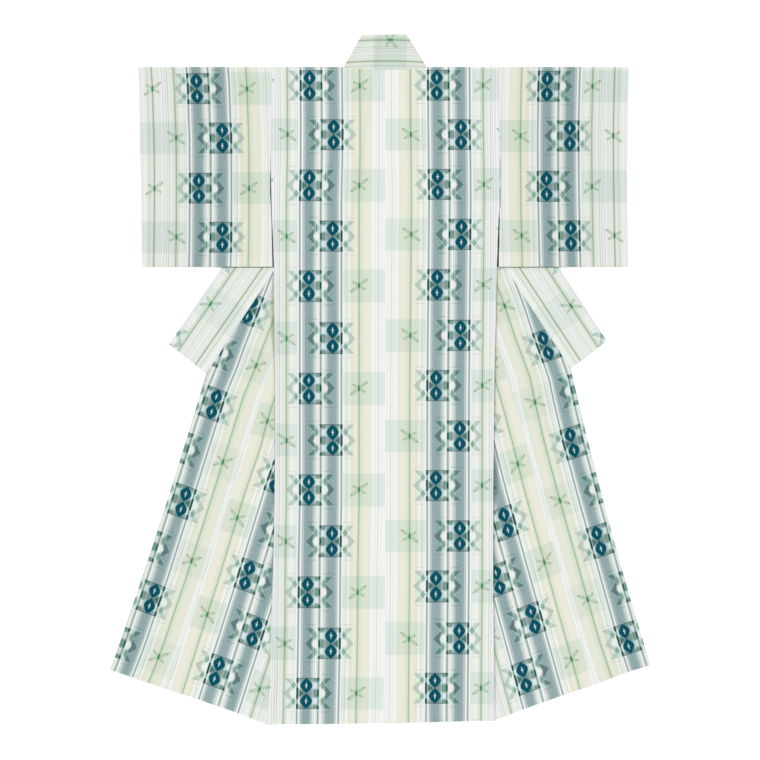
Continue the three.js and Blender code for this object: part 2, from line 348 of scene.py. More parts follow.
# Soft ridges left by wear and folding, in pixels: start, end, half width and height in millimetres
RIDGES = [
    ((300, 110), (322, 300), 26, 1.1), ((352, 330), (338, 560), 34, 1.0), ((420, 90), (446, 260), 28, 1.1),
    ((470, 330), (452, 520), 30, 1.0), ((300, 560), (322, 705), 34, 1.3), ((450, 600), (440, 715), 34, 1.2),
    ((360, 84), (300, 150), 20, 0.9), ((408, 84), (470, 150), 20, 0.9), ((385, 200), (388, 640), 44, 0.8),
    ((165, 90), (185, 250), 26, 1.2), ((230, 80), (215, 240), 30, 1.0), ((150, 225), (262, 240), 22, 0.8),
    ((600, 90), (580, 250), 26, 1.2), ((530, 80), (548, 240), 30, 1.0), ((505, 242), (615, 226), 22, 0.8),
    ((240, 420), (158, 655), 24, 1.4), ((262, 500), (212, 700), 24, 1.2), ((205, 420), (128, 655), 18, 1.0),
    ((530, 430), (600, 655), 24, 1.4), ((508, 500), (546, 690), 24, 1.2), ((560, 420), (632, 645), 18, 1.0),
    ((250, 285), (190, 362), 16, 0.8), ((520, 285), (588, 360), 16, 0.8),
]


def swell(x, y):
    """Height of the soft ridges over the floor, for every layer of cloth alike."""
    across = SEAM_PIXEL + (x - SEAM_X) / PIXEL
    down = SHOULDER_PIXEL + (SHOULDER_Y - y) / PIXEL
    height = np.zeros_like(x)
    for (x0, y0), (x1, y1), half, high in RIDGES:
        way = np.array([x1 - x0, y1 - y0], float)
        size = np.linalg.norm(way)
        way /= size
        along = (across - x0) * way[0] + (down - y0) * way[1]
        aside = ((across - x0) * way[1] - (down - y0) * way[0]) * PIXEL
        beyond = np.maximum(np.maximum(-along, along - size), 0) * PIXEL
        height = height + high * np.exp(-(aside / half) ** 2 - (beyond / (RIDGE_FADE * half)) ** 2)
    return height


def place(side, points, heights):
    """Plan points and heights over the floor, in millimetres, as places in the frame."""
    x = SEAM_X + side.sign * points[..., 0]
    y = SHOULDER_Y - points[..., 1]
    return np.stack([x, y, heights + swell(x, y)], axis=-1) / 1000


def ruled(inner, outer, columns):
    """A patch of plan points between two edges, one row for each pair of points."""
    shares = np.linspace(0, 1, columns + 1)[None, :, None]
    return inner[:, None, :] * (1 - shares) + outer[:, None, :] * shares


# Where the pattern lies on each panel. A drift is how far the stripes lie to the side, in pixels, at places
# down the view. Rows are the middles of the rows of figures, down the view or along the warp.
def pixels(side, points):
    """Places in the view, counted from the middle of its first pixel."""
    across = SEAM_PIXEL - 0.5 + side.sign * points[..., 0] / PIXEL
    down = SHOULDER_PIXEL - 0.5 + points[..., 1] / PIXEL
    return across, down


def rows_at(places, middles, first):
    """Counts pattern rows along the cloth. Even rows have the eyes on the second band."""
    count = first + np.arange(len(middles))
    before = (places - middles[0]) / ROW_PITCH + count[0]
    after = (places - middles[-1]) / ROW_PITCH + count[-1]
    between = np.interp(places, middles, count)
    return np.where(places < middles[0], before, np.where(places > middles[-1], after, between))


BACK_DRIFT = {
    "left": [(68, 0.6), (124, 1.0), (160, 0.9), (200, 0), (500, -0.05), (560, -1.1), (620, -1.5),
             (660, -2.0), (722, -3.3)],
    "right": [(68, -0.9), (124, -0.65), (172, 0), (196, 0.2), (244, -0.15), (292, -0.6), (340, -1.1),
              (388, -1.5), (436, -1.7), (580, -1.65), (628, -2.2), (676, -2.6), (722, -2.9)],
}
BACK_ROWS = {
    "left": [85.4, 133.9, 184.9, 236, 285, 338.2, 387.6, 440, 489, 541, 591.6, 643.2, 692.7],
    "right": [85, 134.1, 184, 233.9, 284.3, 335, 385, 435.7, 484.8, 535.6, 585.4, 638.5, 687.5],
}
SLEEVE_DRIFT = {
    "left": [(68, -2.9), (74, -2.35), (86, -1.6), (98, -1.15), (110, -0.8), (122, -0.4), (134, 0.1),
             (158, 0.4), (194, 0.55), (218, 0.4), (242, 0.2), (267, -0.3)],
    "right": [(68, 1.0), (86, 0.45), (98, 0.13), (110, -0.1), (122, -0.3), (134, -0.45), (158, -0.35),
              (182, -0.15), (194, 0), (206, 0.15), (218, 0.4), (242, 0.85), (267, 1.5)],
}
FRONT_DRIFT = {
    "left": [(400, -1.6), (425, -1.6), (441, -0.2), (462, -0.3), (488, -1.1), (520, -0.8), (580, 0)],
    "right": [(378, -1.8), (405, -2.0), (445, -1.6), (480, -0.5), (503, -0.2), (530, 0)],
}
OKUMI_DRIFT = {
    "left": [(272, -7.4), (298, -5.8), (317, -4.9), (347, -2.8), (366, -2.2), (395, 0.5), (440, 0.3),
             (500, 0), (575, 0), (615, 1.0), (640, 1.4), (657, 2.2), (668, 3.0), (685, 4.2)],
    "right": [(277, -3.5), (293, -1.5), (310, -0.3), (337, 0.9), (358, 2.8), (378, 4.2), (401, 2.5),
              (430, 1.2), (441, 0.7), (500, 0), (625, 0), (645, 0.4), (660, 1.2), (685, 2.4)],
}
SLEEVE_ROWS = {"left": [88.4, 137.4, 188.1, 236.4], "right": [86, 135.3, 186.2, 235.1]}
FIRST_ROW = {"left": 1, "right": 0}
BACK_SELVEDGE = {"left": 251.7, "right": 517.6}

# A mark on each sleeve: its place in the view, its place on the chart, and chart pixels for one of the view
SLEEVE_MARK = {"left": (141.2, 0.0, 1.0), "right": (613.2, STAR_A, 1.0175)}

# The overlap panel's seam in the view: a place across and down on it, and its lean
SEAM_LINE = {"left": (227.9, 500, 0.3187), "right": (552.8, 540, 0.2801)}
WARP_LEAN = {"left": 17.4, "right": 15.65}

# How each front and overlap panel lies: the seam's place on the chart, chart pixels for one of the view,
# how the weft leans and bows, and how the stripes spread or narrow away from the seam
FRONT_LAY = {
    "left": SimpleNamespace(
        seam=121.4, scale=0.954, stretch=0.0, weft_lean=0.0, weft_bow=0.00095, spread=[(590, 0.0)],
        rows=[422.9, 474.5, 524.0, 574.8],
    ),
    "right": SimpleNamespace(
        seam=121.0, scale=0.93, stretch=0.0006, weft_lean=0.098, weft_bow=0.0,
        spread=[(590, 0.4), (612, 1.0), (670, 1.6), (715, 2.2)], rows=[636.4, 687.6, 736.4, 788.3],
    ),
}
SPREAD_FROM = 40
OKUMI_LAY = {
    "left": SimpleNamespace(
        seam=123.6, scale=0.955, narrowing=0.05, narrow_from=36, weft_lean=0.055,
        rows=[322.7, 374, 424.8, 477.4, 526.3, 579],
    ),
    "right": SimpleNamespace(
        seam=123.2, scale=0.92, narrowing=0.11, narrow_from=36.7, weft_lean=0.045,
        rows=[480.6, 531, 581, 632.4, 682.8, 735, 784.5],
    ),
}

# The collar: its outer edge's place on the chart, and a star's place along its warp
COLLAR_OUTER = {"left": 45.9, "right": 45.2}
COLLAR_STAR = {"left": 130.6, "right": 567.9}
NECK_STAR = (389.8, 39.4)
NECK_BOW = 1.6
NECK_BOW_HALF = 40
NECK_SCALE = 1.05


def back_pattern(side, points):
    across, down = pixels(side, points)
    shifted = across - charted(BACK_DRIFT[side.name], down)
    width = side.sign * (BACK_SELVEDGE[side.name] - shifted)
    return pairs(width, rows_at(down, BACK_ROWS[side.name], FIRST_ROW[side.name]))


def sleeve_pattern(side, points):
    across, down = pixels(side, points)
    shifted = across - charted(SLEEVE_DRIFT[side.name], down)
    in_view, on_chart, scale = SLEEVE_MARK[side.name]
    width = on_chart + side.sign * (in_view - shifted) * scale
    return pairs(width, rows_at(down, SLEEVE_ROWS[side.name], FIRST_ROW[side.name]))


def seam_offset(side, across, down):
    """Distance in the view from the overlap panel's seam, positive outwards."""
    seam_across, seam_down, lean = SEAM_LINE[side.name]
    seam = seam_across + side.sign * lean * (down - seam_down)
    return side.sign * (across - seam)


def along_lean(side, degrees, across, down):
    """Places along a line in the view that leans outwards by an angle."""
    lean = math.radians(degrees)
    return side.sign * math.sin(lean) * across + math.cos(lean) * down


def front_pattern(side, points):
    across, down = pixels(side, points)
    lay = FRONT_LAY[side.name]
    inwards = -seam_offset(side, across, down)
    spread = np.clip(inwards / SPREAD_FROM - 1, 0, 1) * charted(lay.spread, down)
    shift = charted(FRONT_DRIFT[side.name], down) + spread
    width = lay.seam + shift - (lay.scale * inwards + lay.stretch * inwards * np.abs(inwards))
    from_star = STAR_C - width
    warp = along_lean(side, WARP_LEAN[side.name], across, down)
    length = warp - lay.weft_lean * from_star - lay.weft_bow * from_star ** 2
    return pairs(width, rows_at(length, lay.rows, FIRST_ROW[side.name]))


def okumi_pattern(side, points):
    across, down = pixels(side, points)
    lay = OKUMI_LAY[side.name]
    outwards = seam_offset(side, across, down)
    narrowed = lay.narrowing * np.maximum(0, outwards - lay.narrow_from)
    width = lay.seam + charted(OKUMI_DRIFT[side.name], down) - outwards * lay.scale - narrowed
    length = along_lean(side, WARP_LEAN[side.name], across, down) + lay.weft_lean * (STAR_C - width)
    return pairs(width, rows_at(length, lay.rows, 0))


def collar_pattern(side, points):
    across, down = pixels(side, points)
    inwards = inside_collar(side, points) / PIXEL
    length = along_lean(side, side.collar_lean, across, down)
    row = (length - COLLAR_STAR[side.name]) / ROW_PITCH
    return pairs(COLLAR_OUTER[side.name] - inwards, row)


def slit_shadow_pattern(side, points):
    """A place beyond the stripes, for the painted shade of the strip in the slit."""
    return pairs(np.full(points.shape[:-1], SLIT_SHADOW_ACROSS), points[..., 1] * 0)


def neck_pattern(side, points):
    across, down = pixels(side, points)
    curve = NECK_BOW * ((across - SEAM_PIXEL) / NECK_BOW_HALF) ** 2
    star_across, star_down = NECK_STAR
    width = STAR_B - (down - curve - star_down) * NECK_SCALE
    return pairs(width, (star_across - across) / ROW_PITCH)


# Shades beside upper layers: how far out of the layer's edge, in widths of the shade, and how deep it is
def unshaded(side, points):
    return np.full(points.shape, [FAR_OUT, 0.0])


def shaded_by_seam(side, points):
    down = points[..., 1]
    downs, widths, depths = zip(*side.seam_shade)
    out = (points[..., 0] - body_edge(side, down)) / PIXEL
    return pairs(out / np.interp(down, downs, widths), np.interp(down, downs, depths))


def shaded_by_sleeve(side, points):
    below = (points[..., 1] - SLEEVE_LENGTH) / PIXEL
    return pairs(below / FOOT_SHADE_WIDTH, np.full_like(below, FOOT_SHADE))


# Cloth patches
def patch(side, plan, level, pattern, lift=FLOOR_HEIGHT, shaded=unshaded):
    """A patch of cloth over a grid of plan points, at its layer's height."""
    heights = level(side, plan) + lift
    return SimpleNamespace(
        points=place(side, plan, heights), pattern=pattern(side, plan), shade=shaded(side, plan)
    )


def turned(side, edge, bulge, level, pattern, lift=FLOOR_HEIGHT):
    """The rounded turn from the layer at a level to the one above it, along an edge of plan points."""
    angles = np.linspace(-90, 90, ARC_STEPS + 1) * math.pi / 180
    reach = np.cos(angles)[:, None, None] * LAYER / 2
    plan = edge[None, :, :] + bulge * reach
    heights = level(side, edge)[None, :] + lift + LAYER / 2 + np.sin(angles)[:, None] * LAYER / 2
    return SimpleNamespace(
        points=place(side, plan, heights), pattern=pattern(side, plan), shade=unshaded(side, plan)
    )


def cloth_object(name, patches, thickness):
    """Joins the patches at their shared edges and gives them the cloth's thickness."""
    mesh = bmesh.new()
    pattern_layer = mesh.loops.layers.uv.new("cloth")
    shade_layer = mesh.loops.layers.uv.new("shade")
    for one in patches:
        rows, columns = one.points.shape[:2]
        grid = [[mesh.verts.new(one.points[i, j]) for j in range(columns)] for i in range(rows)]
        for i in range(rows - 1):
            for j in range(columns - 1):
                corners = [(i, j), (i, j + 1), (i + 1, j + 1), (i + 1, j)]
                face = mesh.faces.new([grid[a][b] for a, b in corners])
                face.smooth = True
                for loop, (a, b) in zip(face.loops, corners):
                    loop[pattern_layer].uv = one.pattern[a, b]
                    loop[shade_layer].uv = one.shade[a, b]
    bmesh.ops.remove_doubles(mesh, verts=mesh.verts, dist=MERGE)
    bmesh.ops.recalc_face_normals(mesh, faces=mesh.faces)
    data = bpy.data.meshes.new(name)
    mesh.to_mesh(data)
    mesh.free()
    piece = bpy.data.objects.new(name, data)
    bpy.context.scene.collection.objects.link(piece)
    wall = piece.modifiers.new("wall", "SOLIDIFY")
    wall.thickness = thickness / 1000
    wall.offset = 0
    walled = bpy.data.meshes.new_from_object(piece.evaluated_get(bpy.context.evaluated_depsgraph_get()))
    piece.modifiers.clear()
    piece.data = walled
    bpy.data.meshes.remove(data)
    mark_cut_edges(walled)
    return piece


def mark_cut_edges(data):
    """Keeps the cut edges of the cloth crisp, and the rest of it smooth."""
    mesh = bmesh.new()
    mesh.from_mesh(data)
    for edge in mesh.edges:
        edge.smooth = edge.calc_face_angle(0.0) < CUT_ANGLE
    mesh.to_mesh(data)
    mesh.free()


def steps(length, cell):
    return max(1, round(length / cell))


def neck_line(side, out):
    """How far down the collar's seam lies on the back."""
    return NECK_DIP * (1 - (np.clip(out, 0, side.neck) / side.neck) ** 2)


def back_rows(side):
    return np.linspace(0, 1, steps(CENTRE_LENGTH, CELL) + 1)


def back_plan(side, inner, outer_of, columns, top_of):
    """Plan points of a strip of the back, from the shoulder or neck to the hem."""
    hem_rise = (side.crease_foot[1] - CENTRE_LENGTH) / side.crease_foot[0]
    shares = np.linspace(0, 1, columns + 1)
    plan = []
    for far in back_rows(side):
        down = far * CENTRE_LENGTH
        outs = inner + (outer_of(down) - inner) * shares
        top = top_of(outs)
        plan.append(pairs(outs, top + far * (CENTRE_LENGTH + hem_rise * outs - top)))
    return np.array(plan)


def body_patches(side):
    middle = back_plan(
        side, GAP, lambda down: side.neck, steps(side.neck, CELL), lambda outs: neck_line(side, outs) + GAP
    )
    columns = steps(SHOULDER - side.neck, CELL)
    wide = back_plan(
        side, side.neck, lambda down: body_edge(side, down), columns,
        lambda outs: np.full_like(outs, SHOULDER_DOWN)
    )
    middle[0, -1] = wide[0, 0]
    middle[:, -1] = wide[:, 0]
    crease = crease_line(side)
    inwards = np.array([-side.crease_way[1], side.crease_way[0]])
    return [
        patch(side, middle, over_front, back_pattern),
        patch(side, wide, over_front, back_pattern),
        turned(side, wide[0], np.array([0.0, -1.0]), over_flap, back_pattern),
        patch(side, hidden_front(side, crease, columns), over_flap, back_pattern),
        turned(side, crease, inwards, on_floor, back_pattern),
        patch(side, opened_front(side, crease), on_floor, front_pattern, shaded=shaded_by_seam),
        # The strip under the slit is painted shade, a dark stand-in for the shadow in the opening
        patch(side, slit_shadow_strip(side), over_flap, slit_shadow_pattern, FLOOR_HEIGHT + LAYER / 2),
    ]


def crease_line(side):
    """The crease in which the front turns back outwards, from its top to the hem."""
    top, foot = side.crease_top[1], side.crease_foot[1]
    downs = np.linspace(top, foot, steps(foot - top, FRONT_CELL) + 1)
    outs = side.crease_foot[0] - (foot - downs) * math.tan(math.radians(side.crease_lean))
    return pairs(outs, downs)


def hidden_front(side, crease, columns):
    """The front beneath the back, from the shoulder to the crease's foot."""
    crease_out, crease_down = side.crease_top
    downs = np.linspace(SHOULDER_DOWN, crease_down, steps(crease_down, HIDDEN_CELL) + 1)
    outs = np.interp(downs, [SHOULDER_DOWN, crease_down], [side.neck, crease_out])
    inner = np.concatenate([pairs(outs, downs), crease[1:]])
    outer = pairs(np.maximum(body_edge(side, inner[:, 1]), inner[:, 0]), inner[:, 1])
    outer[-1] = inner[-1] + np.array([CREASE_FOOT_WIDTH, 0.0])
    return ruled(inner, outer, columns)


def opened_front(side, crease):
    """The front from its crease to the overlap panel's seam."""
    shares = np.linspace(0, 1, len(crease))[:, None]
    seam = side.okumi_tip * (1 - shares) + side.okumi_foot * shares
    plan = ruled(crease, seam + np.array([-GAP, 0.0]), steps(side.front_hem, FRONT_CELL))
    bow_hem(plan, shares, side.front_bow)
    return plan


def slit_shadow_strip(side):
    """A strip of painted shade that shows through the slit between the body and the sleeve, where the
    opening lies in shadow.
    """
    downs = np.linspace(side.slit[0][0], SLEEVE_LENGTH - 0.5, SLIT_SHADOW_ROWS)
    outs = charted(side.sleeve_seam, downs)
    inner = pairs(outs - SLIT_SHADOW_HALF, downs)
    outer = pairs(outs + SLIT_SHADOW_HALF, downs)
    return ruled(inner, outer, 2)


def arch(share):
    """0 at both ends and 1 in the middle."""
    return 4 * share * (1 - share)


def bow_hem(plan, shares, bow):
    """Bows the hem of a panel upwards between its corners. Its rows run from the top to the hem."""
    across = np.linspace(0, 1, plan.shape[1])
    plan[..., 1] -= bow * shares ** BOW_FADE * arch(across)


def okumi_patches(side):
    length = np.linalg.norm(side.okumi_foot - side.okumi_tip)
    shares = np.linspace(0, 1, steps(length, FRONT_CELL) + 1)
    inner = side.okumi_foot * (1 - shares[:, None]) + side.okumi_tip * shares[:, None]
    edge_share = np.linspace(0, 1, EDGE_POINTS)
    edge = side.hem_corner + (side.collar_end - side.hem_corner) * edge_share[:, None]
    edge[:, 0] -= side.okumi_edge_dip * arch(edge_share)
    path = np.concatenate([edge, [side.okumi_tip]])
    edge_length = np.linalg.norm(np.diff(edge, axis=0), axis=1).sum()
    tip_length = np.linalg.norm(side.okumi_tip - side.collar_end)
    corner = edge_length / (edge_length + tip_length)
    at = np.interp(shares, [0, edge_length / length, 1], [0, corner, 1])
    outer = path_points(path, at)
    plan = ruled(inner + np.array([GAP, 0.0]), outer, steps(side.okumi_hem, FRONT_CELL))
    bow_hem(plan, 1 - shares[:, None], side.okumi_bow)
    return [patch(side, plan, on_floor, okumi_pattern, shaded=shaded_by_seam)]


def collar_end_patches(side):
    length = np.linalg.norm(side.collar_start - side.collar_tip)
    shares = np.linspace(0, 1, steps(length, FRONT_CELL) + 1)
    outer = path_points([side.collar_tip, side.collar_start], shares)
    inner_path = [side.collar_end, side.crease_top, side.crease_start]
    inner = path_points(inner_path, shares) + np.array([0.0, -2 * GAP])
    plan = ruled(inner, outer, steps(side.collar_width, FRONT_CELL))
    return [patch(side, plan, on_floor, collar_pattern, COLLAR_HEIGHT, shaded_by_sleeve)]


def neck_patches(side):
    rows = steps(COLLAR_RISE, CELL)
    shares = np.linspace(0, 1, rows + 1)
    top = np.array([side.collar_top, -COLLAR_RISE])
    turn = np.array([side.neck, -LAYER / 2])
    edge = path_points([top, turn], shares)
    columns = steps(side.neck, CELL)
    plan = ruled(pairs(np.zeros(rows + 1), edge[:, 1]), edge, columns)
    dips = neck_line(side, plan[-1, :, 0]) - GAP - plan[-1, :, 1]
    plan[..., 1] += shares[:, None] ** 2 * dips[None, :] * (plan[..., 0] < side.neck - 0.1)
    bulge = turn - top
    bulge = np.array([bulge[1], -bulge[0]]) / np.linalg.norm(bulge)
    inner = path_points([side.crease_above, side.crease_top], shares)
    hidden = ruled(edge, inner, HIDDEN_NECK_COLUMNS)
    return [
        patch(side, plan, over_front, neck_pattern, COLLAR_HEIGHT),
        turned(side, edge, bulge, over_flap, neck_pattern, COLLAR_HEIGHT),
        patch(side, hidden, over_flap, neck_pattern, COLLAR_HEIGHT),
    ]


def sleeve_patches(side):
    fold = LAYER / 2
    rows = steps(SLEEVE_LENGTH, CELL)
    columns = steps(side.sleeve_edge[0][1] - SHOULDER, CELL)
    downs = np.linspace(SHOULDER_DOWN, SLEEVE_LENGTH - fold, rows + 1)
    seam_out = charted(side.sleeve_seam, downs) + charted(side.slit, downs) / 2 + GAP
    inner = pairs(seam_out, downs)
    outer = pairs(charted(side.sleeve_edge, downs) - SLEEVE_FOLD_WIDTH, downs)
    plan = ruled(inner, outer, columns)
    back = patch(side, plan, over_strap, sleeve_pattern, FLOOR_HEIGHT + LAYER)
    front = patch(side, plan, over_strap, sleeve_pattern)
    sewn = smooth((plan[..., 1] - CUFF_OPENING) / PINCH_WIDTH)
    near = smooth(1 - (outer[:, None, 0] - plan[..., 0]) / PINCH_WIDTH)
    pinch = sewn * near * (fold - PINCHED_LAYER) / 1000
    back.points[..., 2] -= pinch
    front.points[..., 2] += pinch
    top = turned(side, plan[0], np.array([0.0, -1.0]), over_strap, sleeve_pattern)
    foot = turned(side, plan[-1], np.array([0.0, 1.0]), over_strap, sleeve_pattern)
    for turn_patch, row in ((top, 0), (foot, -1)):
        turn_patch.points[0, :, 2] = front.points[row, :, 2]
        turn_patch.points[-1, :, 2] = back.points[row, :, 2]
    return [back, front, top, foot]


# Shader arithmetic
class Field:
    """A number that varies over the cloth: an output of a shader node."""

    tree = None

    def __init__(self, socket):
        self.socket = socket

    def __add__(self, other):
        return calculate("ADD", self, other)

    def __sub__(self, other):
        return calculate("SUBTRACT", self, other)

    def __rsub__(self, other):
        return calculate("SUBTRACT", other, self)

    def __mul__(self, other):
        return calculate("MULTIPLY", self, other)

    __radd__ = __add__
    __rmul__ = __mul__

    def __abs__(self):
        return calculate("ABSOLUTE", self)


def feed(socket, value):
    if isinstance(value, Field):
        Field.tree.links.new(value.socket, socket)
    else:
        socket.default_value = value


def calculate(operation, *values, clamped=False):
    node = Field.tree.nodes.new("ShaderNodeMath")
    node.operation = operation
    node.use_clamp = clamped
    for socket, value in zip(node.inputs, values):
        feed(socket, value)
    return Field(node.outputs[0])


def within(distance, half, soft):
    """1 where a distance is less than a half width, fading to 0 over a soft edge."""
    if isinstance(half, Field):
        return calculate("MULTIPLY_ADD", half - distance, 1 / soft, 0.5, clamped=True)
    return calculate("MULTIPLY_ADD", distance, -1 / soft, half / soft + 0.5, clamped=True)


def either(first, *others):
    for other in others:
        first = calculate("MAXIMUM", first, other)
    return first


def blend(share, first, second):
    node = Field.tree.nodes.new("ShaderNodeMix")
    node.data_type = "FLOAT"
    feed(node.inputs["Factor"], share)
    feed(node.inputs["A"], first)
    feed(node.inputs["B"], second)
    return Field(node.outputs["Result"])


def dye(red, green, blue):
    """A seen colour as the cloth's own colour under this light."""
    def linear(value):
        value /= 255
        return value / 12.92 if value <= 0.04045 else ((value + 0.055) / 1.055) ** 2.4
    return tuple(linear(value) / LIGHT_LEVEL for value in (red, green, blue)) + (1.0,)


def colour_mix(share, first, second, kind="MIX"):
    node = Field.tree.nodes.new("ShaderNodeMix")
    node.data_type = "RGBA"
    node.blend_type = kind
    feed(node.inputs[0], share)
    feed(node.inputs[6], first)
    feed(node.inputs[7], second)
    return Field(node.outputs[2])


def stripe_colour(place_across):
    """The chart's colour at one place across the loom width."""
    colour = np.array(GROUND, float)
    for centre, width, yarn, share in STRIPES:
        inside = (width / 2 + STRIPE_SOFT / 2 - abs(place_across - centre)) / STRIPE_SOFT
        shown = share * min(max(inside, 0), 1)
        colour += (np.array(YARNS[yarn]) - colour) * shown
    return colour


def stripe_stops():
    """The places across the loom width where the chart's colour turns."""
    edges = {0.0, LOOM_WIDTH}
    for centre, width, _, _ in STRIPES:
        for half in (width / 2 - STRIPE_SOFT / 2, width / 2 + STRIPE_SOFT / 2):
            edges |= {round(centre - half, 3), round(centre + half, 3)}
    return sorted(edge for edge in edges if 0 <= edge <= LOOM_WIDTH)


def stripe_ramp(across, stops):
    """One stretch of the stripe chart as a colour ramp."""
    start, end = stops[0], stops[-1]
    node = Field.tree.nodes.new("ShaderNodeValToRGB")
    ramp = node.color_ramp
    while len(ramp.elements) < len(stops):
        ramp.elements.new(0.5)
    for element, stop in zip(ramp.elements, stops):
        element.position = (stop - start) / (end - start)
        element.color = dye(*stripe_colour(stop))
    feed(node.inputs[0], calculate("MULTIPLY_ADD", across, 1 / (end - start), -start / (end - start)))
    return Field(node.outputs[0])


def stripes(across):
    stops = stripe_stops()
    colour = None
    for first in range(0, len(stops) - 1, RAMP_STOPS):
        stretch = stops[first:first + RAMP_STOPS + 1]
        ramp = stripe_ramp(across, stretch)
        past = calculate("GREATER_THAN", across, stretch[0])
        colour = ramp if colour is None else colour_mix(past, colour, ramp)
    return colour


def noise(coordinate, scale, detail):
    node = Field.tree.nodes.new("ShaderNodeTexNoise")
    node.noise_dimensions = "1D"
    feed(node.inputs["W"], coordinate)
    feed(node.inputs["Scale"], scale)
    feed(node.inputs["Detail"], detail)
    return Field(node.outputs[0])


def mottle(across, length, detail):
    """Noise over the cloth, from coordinates that already have their scale."""
    place_node = Field.tree.nodes.new("ShaderNodeCombineXYZ")
    feed(place_node.inputs[0], across)
    feed(place_node.inputs[1], length)
    node = Field.tree.nodes.new("ShaderNodeTexNoise")
    node.noise_dimensions = "2D"
    Field.tree.links.new(place_node.outputs[0], node.inputs["Vector"])
    feed(node.inputs["Scale"], 1.0)
    feed(node.inputs["Detail"], detail)
    return Field(node.outputs[0])


def beyond(value, start, soft):
    """1 where a value is more than a start, fading in over a soft edge."""
    return calculate("MULTIPLY_ADD", value, 1 / soft, 0.5 - start / soft, clamped=True)


def dyed(colour, share, part):
    """The cloth with a part of a figure dyed on it."""
    return colour_mix(share, colour, dye(*FIGURE_DYES[part]))


def from_centre(reach, rise):
    """Distance from the middle of an ellipse, 1 at its edge."""
    return calculate("SQRT", reach * reach + rise * rise)


def eye_figure(colour, du, dv, worn):
    """The framed pair of drop-shaped eyes. du is positive towards the light side."""
    height = abs(dv)
    from_eye = height - EYE_CENTRE
    taper = calculate("COSINE", abs(from_eye) * (math.pi / 2 / EYE_REACH))
    eye_half = calculate("POWER", calculate("MAXIMUM", taper, 0.0), 1.2) * EYE_HALF
    eye = within(abs(du), eye_half, 0.8) * within(abs(from_eye), 7.6, 0.6)
    cross_mark = either(
        within(abs(du), 0.38, 0.5) * within(abs(from_eye), 2.7, 0.6),
        within(abs(du), 1.35, 0.5) * within(abs(from_eye), 0.35, 0.4),
    )
    in_frame = within(height, FRAME_HALF + 0.5, 0.6)
    light_dashes = either(beyond(height, 10.6, 0.8), within(height, 5.8, 1.0))
    light_line = within(abs(du - LIGHT_LINE), 1.05, 0.6) * light_dashes
    band_dashes = either(beyond(height, 12.4, 0.8), within(height, 3.4, 1.2))
    band_line = within(abs(du - BAND_LINE), 0.95, 0.6) * band_dashes
    inner_dashes = either(beyond(height, 12.0, 1.0), within(height, 3.4, 1.0))
    inner_line = within(abs(du - INNER_LINE), 0.25, 0.5) * inner_dashes
    rail = within(abs(height - FRAME_HALF - 0.3), 0.35, 0.6) * within(abs(du + 1.8), 11.6, 0.8)
    waist = within(height - (du - 2.3) * 0.8, 0, 0.7) * within(du, 6.9, 0.6)
    corners = within(abs(du + 1.0), 9.0, 0.8) * beyond(abs(from_eye), 3.8, 2.0)
    wash = within(abs(du + 9.7), 1.9, 1.0) * either(within(height, 4.6, 1.5), beyond(height, 11.0, 1.5))
    colour = dyed(colour, wash * worn * in_frame * 0.75, "wash")
    colour = dyed(colour, corners * worn * in_frame * 0.5, "corner")
    colour = dyed(colour, waist * 0.8, "waist")
    colour = dyed(colour, inner_line * in_frame * 0.55, "inner_line")
    colour = dyed(colour, rail * 0.75, "rail")
    colour = dyed(colour, band_line * in_frame, "band_line")
    colour = dyed(colour, light_line * in_frame, "light_line")
    colour = dyed(colour, eye, "eye")
    return dyed(colour, cross_mark * 0.9, "cross")


def side_figures(colour, du, dv, worn, light_share):
    """The zigzags, blobs and white hollows on both sides of the framed eyes."""
    height = abs(dv)
    outward = calculate("MAXIMUM", du - LIGHT_LINE, BAND_LINE - du)
    on_light = beyond(du, 0, 1.0)
    tooth = abs(height - TOOTH_CENTRE) * TOOTH_SLOPE + TOOTH_REACH
    from_middle = abs(outward - tooth + ZIGZAG_HALF)
    zigzag = within(from_middle, ZIGZAG_HALF, 0.9) * beyond(outward, 3.2, 0.8) * within(height, 15.3, 0.8)
    outline = within(abs(from_middle - 2.6), 0.35, 0.7)
    hollow = within(from_centre((outward - HOLLOW_CENTRE) * 0.32, height * 0.24), 1.0, 0.5)
    blob = within(abs(outward - BLOB_CENTRE) * 0.4 + abs(height - TOOTH_CENTRE) * 0.26, 1.0, 0.4)
    thread = within(abs(outward - THREAD_LINE), 0.35, 0.5) * within(abs(height - 8.4), 3.2, 0.8)
    echo = within(abs(height - ECHO_LINE), 0.35, 0.8) * within(abs(outward - 8), 5.0, 2.0)
    tooth_colour = dyed(dye(*FIGURE_DYES["tooth_point"]), within(height, 6.0, 1.5), "tooth")
    zigzag_colour = dyed(tooth_colour, on_light, "light_tooth")
    zigzag = zigzag * blend(beyond(outward, 6.4, 1.5), 0.5, 1.0) * blend(outline, 0.76, 1.12)
    colour = colour_mix(zigzag * worn * blend(on_light, 1.0, light_share), colour, zigzag_colour)
    colour = dyed(colour, hollow * 0.8, "hollow")
    colour = dyed(colour, blob * worn * blend(on_light, 0.6, 0.85), "blob")
    colour = dyed(colour, thread * blend(on_light, 0.6, 0.0), "thread")
    return dyed(colour, echo * worn * blend(on_light, 0.5, 0.25), "echo")


def star_leaves(du, dv, reach, rise, width):
    """Two opposite leaves of a star, which end at reach and rise from its middle."""
    size = math.hypot(reach, rise)
    along = abs(du * (reach / size) + dv * (rise / size))
    aside = abs(du * (rise / size) - dv * (reach / size))
    swelling = calculate("SINE", calculate("MINIMUM", along * (math.pi / size), math.pi)) * width
    leaf = within(aside, swelling, 0.9) * within(along, size, 0.6)
    return leaf * (beyond(along, size * 0.72, 2.0) * 0.4 + 0.45)


